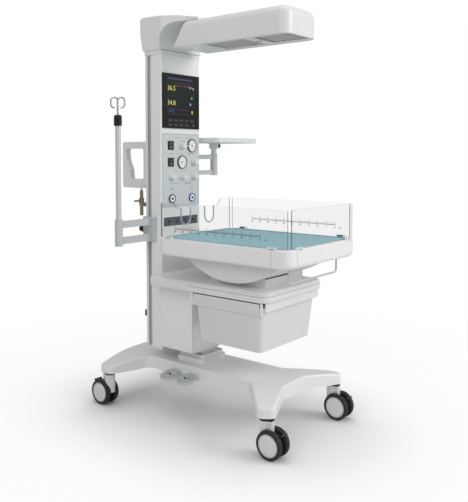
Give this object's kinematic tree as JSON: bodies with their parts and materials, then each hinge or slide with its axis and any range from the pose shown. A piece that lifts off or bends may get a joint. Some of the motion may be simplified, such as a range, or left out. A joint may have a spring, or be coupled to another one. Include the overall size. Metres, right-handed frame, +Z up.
{
  "type": "infant radiant warmer",
  "caption": "Wheeled infant warmer: cast base with casters, telescopic lift, column with controls, tilting bed with clear panels, drawer and swivelling heater hood.",
  "frame": {"origin": "centre of the footprint's box, on the floor", "axes": "+Z up, +Y from the foot of the bed to the column, +X to the instrument tray's side"},
  "size_m": [0.9286, 1.1825, 1.942],
  "materials": {
    "acrylic": "clear acrylic sheet",
    "aluminium_white": "painted extrusion",
    "black_plastic": "moulded",
    "brass": "turned",
    "caster_grey": "light grey moulding",
    "connector_grey": "dark grey-blue strip",
    "display_black": "glossy bezel",
    "gauge_white": "gauges under clear covers",
    "knob_grey": "moulded knobs",
    "lamp_glass": "frosted lens",
    "mattress_cover": "coated teal cover",
    "reflector": "bright reflector",
    "steel": "satin",
    "tyre_black": "polyurethane tread",
    "white_enamel": "satin powder coat",
    "white_plastic": "moulded, satin"
  },
  "bodies": {
    "base": {"base_casting": "aluminium_white", "pedestal_skirt": "white_enamel", "lift_outer_tube": "white_enamel"},
    "carriage": {"lift_inner_tube": "steel", "lift_housing": "white_enamel", "shelf_slab": "white_plastic", "column_profile": "aluminium_white", "column_foot": "white_plastic", "column_collar": "white_plastic", "display_unit": "display_black", "control_plate": "white_enamel", "pressure_gauges": "gauge_white", "connector_strip": "connector_grey", "rear_handle": "white_plastic", "gas_inlet": "brass", "power_inlet": "black_plastic", "pole_bracket": "white_enamel", "drip_pole": "steel", "tray_bracket": "white_enamel", "drawer_runners": "white_enamel", "tilt_cradle": "white_plastic"},
    "raise_pedal": {"raise_pedal": "white_enamel"},
    "lower_pedal": {"lower_pedal": "white_enamel"},
    "drawer": {"drawer_tub": "white_plastic"},
    "bed": {"bed_tray": "white_plastic", "mattress": "mattress_cover", "tilt_rocker": "white_plastic", "foot_rail": "steel", "head_panel": "acrylic"},
    "near_panel": {"near_panel": "acrylic"},
    "far_panel": {"far_panel": "acrylic"},
    "foot_panel": {"foot_panel": "acrylic"},
    "head": {"neck_cover": "white_plastic", "hood_shell": "white_plastic", "hood_grilles": "reflector", "exam_lamp": "lamp_glass", "heater_module": "reflector"},
    "drip_hooks": {"drip_hooks": "steel"},
    "pole_clamp_knob": {"pole_clamp_knob": "black_plastic"},
    "tray": {"tray": "white_plastic"},
    "tray_clamp_knob": {"tray_clamp_knob": "black_plastic"},
    "caster_front_near": {"caster_front_near_housing": "caster_grey"},
    "caster_front_near_wheels": {"caster_front_near_wheels": "tyre_black"},
    "caster_front_near_brake": {"caster_front_near_brake": "black_plastic"},
    "caster_front_far": {"caster_front_far_housing": "caster_grey"},
    "caster_front_far_wheels": {"caster_front_far_wheels": "tyre_black"},
    "caster_front_far_brake": {"caster_front_far_brake": "black_plastic"},
    "caster_rear_near": {"caster_rear_near_housing": "caster_grey"},
    "caster_rear_near_wheels": {"caster_rear_near_wheels": "tyre_black"},
    "caster_rear_near_brake": {"caster_rear_near_brake": "black_plastic"},
    "caster_rear_far": {"caster_rear_far_housing": "caster_grey"},
    "caster_rear_far_wheels": {"caster_rear_far_wheels": "tyre_black"},
    "caster_rear_far_brake": {"caster_rear_far_brake": "black_plastic"},
    "oxygen_knob": {"oxygen_knob": "knob_grey"},
    "suction_knob": {"suction_knob": "knob_grey"},
    "flow_knob_left": {"flow_knob_left": "knob_grey"},
    "flow_knob_middle": {"flow_knob_middle": "knob_grey"},
    "flow_knob_right": {"flow_knob_right": "knob_grey"},
    "power_switch": {"power_switch": "knob_grey"},
    "suction_switch": {"suction_switch": "knob_grey"}
  },
  "joints": [
    {"name": "caster_front_near_swivel", "type": "hinge", "parent": "base", "child": "caster_front_near", "pos_m": [-0.3447, -0.46825, 0.17], "axis": [0, 0, 1], "continuous": true},
    {"name": "caster_front_near_roll", "type": "hinge", "parent": "caster_front_near", "child": "caster_front_near_wheels", "pos_m": [-0.3447, -0.50625, 0.0625], "axis": [1, 0, 0], "continuous": true},
    {"name": "caster_front_near_brake_press", "type": "hinge", "parent": "caster_front_near", "child": "caster_front_near_brake", "pos_m": [-0.3447, -0.50625, 0.0625], "axis": [1, 0, 0], "range_deg": [0, 12]},
    {"name": "caster_front_far_swivel", "type": "hinge", "parent": "base", "child": "caster_front_far", "pos_m": [0.2013, -0.46825, 0.17], "axis": [0, 0, 1], "continuous": true},
    {"name": "caster_front_far_roll", "type": "hinge", "parent": "caster_front_far", "child": "caster_front_far_wheels", "pos_m": [0.2013, -0.50625, 0.0625], "axis": [1, 0, 0], "continuous": true},
    {"name": "caster_front_far_brake_press", "type": "hinge", "parent": "caster_front_far", "child": "caster_front_far_brake", "pos_m": [0.2013, -0.50625, 0.0625], "axis": [1, 0, 0], "range_deg": [0, 12]},
    {"name": "caster_rear_near_swivel", "type": "hinge", "parent": "base", "child": "caster_rear_near", "pos_m": [-0.3637, 0.49075, 0.17], "axis": [0, 0, 1], "continuous": true},
    {"name": "caster_rear_near_roll", "type": "hinge", "parent": "caster_rear_near", "child": "caster_rear_near_wheels", "pos_m": [-0.3637, 0.52875, 0.0625], "axis": [1, 0, 0], "continuous": true},
    {"name": "caster_rear_near_brake_press", "type": "hinge", "parent": "caster_rear_near", "child": "caster_rear_near_brake", "pos_m": [-0.3637, 0.52875, 0.0625], "axis": [1, 0, 0], "range_deg": [-12, 0]},
    {"name": "caster_rear_far_swivel", "type": "hinge", "parent": "base", "child": "caster_rear_far", "pos_m": [0.2203, 0.49075, 0.17], "axis": [0, 0, 1], "continuous": true},
    {"name": "caster_rear_far_roll", "type": "hinge", "parent": "caster_rear_far", "child": "caster_rear_far_wheels", "pos_m": [0.2203, 0.52875, 0.0625], "axis": [1, 0, 0], "continuous": true},
    {"name": "caster_rear_far_brake_press", "type": "hinge", "parent": "caster_rear_far", "child": "caster_rear_far_brake", "pos_m": [0.2203, 0.52875, 0.0625], "axis": [1, 0, 0], "range_deg": [-12, 0]},
    {"name": "lift", "type": "slide", "parent": "base", "child": "carriage", "axis": [0, 0, 1], "range_m": [0, 0.2]},
    {"name": "raise_pedal_press", "type": "hinge", "parent": "base", "child": "raise_pedal", "pos_m": [-0.2127, 0.17175, 0.197], "axis": [0, 1, 0], "range_deg": [-8, 0], "stiffness_Nm_per_rad": 8, "springref_deg": 3.44},
    {"name": "lower_pedal_press", "type": "hinge", "parent": "base", "child": "lower_pedal", "pos_m": [-0.2127, 0.06275, 0.197], "axis": [0, 1, 0], "range_deg": [-8, 0], "stiffness_Nm_per_rad": 8, "springref_deg": 3.44},
    {"name": "drawer_slide", "type": "slide", "parent": "carriage", "child": "drawer", "axis": [-1, 0, 0], "range_m": [0, 0.3]},
    {"name": "bed_tilt", "type": "hinge", "parent": "carriage", "child": "bed", "pos_m": [-0.0717, -0.22025, 1.122], "axis": [1, 0, 0], "range_deg": [-10, 10]},
    {"name": "near_panel_fold", "type": "hinge", "parent": "bed", "child": "near_panel", "pos_m": [-0.3567, -0.22025, 0.88], "axis": [0, -1, 0], "range_deg": [0, 180]},
    {"name": "far_panel_fold", "type": "hinge", "parent": "bed", "child": "far_panel", "pos_m": [0.2133, -0.22025, 0.88], "axis": [0, 1, 0], "range_deg": [0, 180]},
    {"name": "foot_panel_fold", "type": "hinge", "parent": "bed", "child": "foot_panel", "pos_m": [-0.0717, -0.58725, 0.88], "axis": [1, 0, 0], "range_deg": [0, 180]},
    {"name": "head_swivel", "type": "hinge", "parent": "carriage", "child": "head", "pos_m": [-0.0717, 0.32375, 1.779], "axis": [0, 0, 1], "range_deg": [-90, 90]},
    {"name": "hook_height", "type": "slide", "parent": "carriage", "child": "drip_hooks", "axis": [0, 0, 1], "range_m": [0, 0.2]},
    {"name": "pole_clamp_turn", "type": "hinge", "parent": "carriage", "child": "pole_clamp_knob", "pos_m": [-0.2237, 0.38275, 0.89], "axis": [0, 1, 0], "range_deg": [0, 180]},
    {"name": "tray_swing", "type": "hinge", "parent": "carriage", "child": "tray", "pos_m": [0.2623, 0.33075, 1.328], "axis": [0, 0, 1], "range_deg": [0, 90]},
    {"name": "tray_clamp_turn", "type": "hinge", "parent": "tray", "child": "tray_clamp_knob", "pos_m": [0.2883, 0.33075, 1.313], "axis": [1, 0, 0], "range_deg": [0, 180]},
    {"name": "oxygen_knob_turn", "type": "hinge", "parent": "carriage", "child": "oxygen_knob", "pos_m": [-0.0637, 0.26775, 1.31], "axis": [0, -1, 0], "range_deg": [0, 300]},
    {"name": "suction_knob_turn", "type": "hinge", "parent": "carriage", "child": "suction_knob", "pos_m": [0.0233, 0.26775, 1.226], "axis": [0, -1, 0], "range_deg": [0, 300]},
    {"name": "flow_knob_left_turn", "type": "hinge", "parent": "carriage", "child": "flow_knob_left", "pos_m": [-0.1407, 0.26775, 1.15], "axis": [0, -1, 0], "range_deg": [0, 300]},
    {"name": "flow_knob_middle_turn", "type": "hinge", "parent": "carriage", "child": "flow_knob_middle", "pos_m": [-0.0607, 0.26775, 1.15], "axis": [0, -1, 0], "range_deg": [0, 300]},
    {"name": "flow_knob_right_turn", "type": "hinge", "parent": "carriage", "child": "flow_knob_right", "pos_m": [0.0233, 0.26775, 1.15], "axis": [0, -1, 0], "range_deg": [0, 300]},
    {"name": "power_switch_rock", "type": "hinge", "parent": "carriage", "child": "power_switch", "pos_m": [-0.1497, 0.26575, 1.31], "axis": [1, 0, 0], "range_deg": [-6, 6]},
    {"name": "suction_switch_rock", "type": "hinge", "parent": "carriage", "child": "suction_switch", "pos_m": [-0.1497, 0.26575, 1.226], "axis": [1, 0, 0], "range_deg": [-6, 6]}
  ]
}
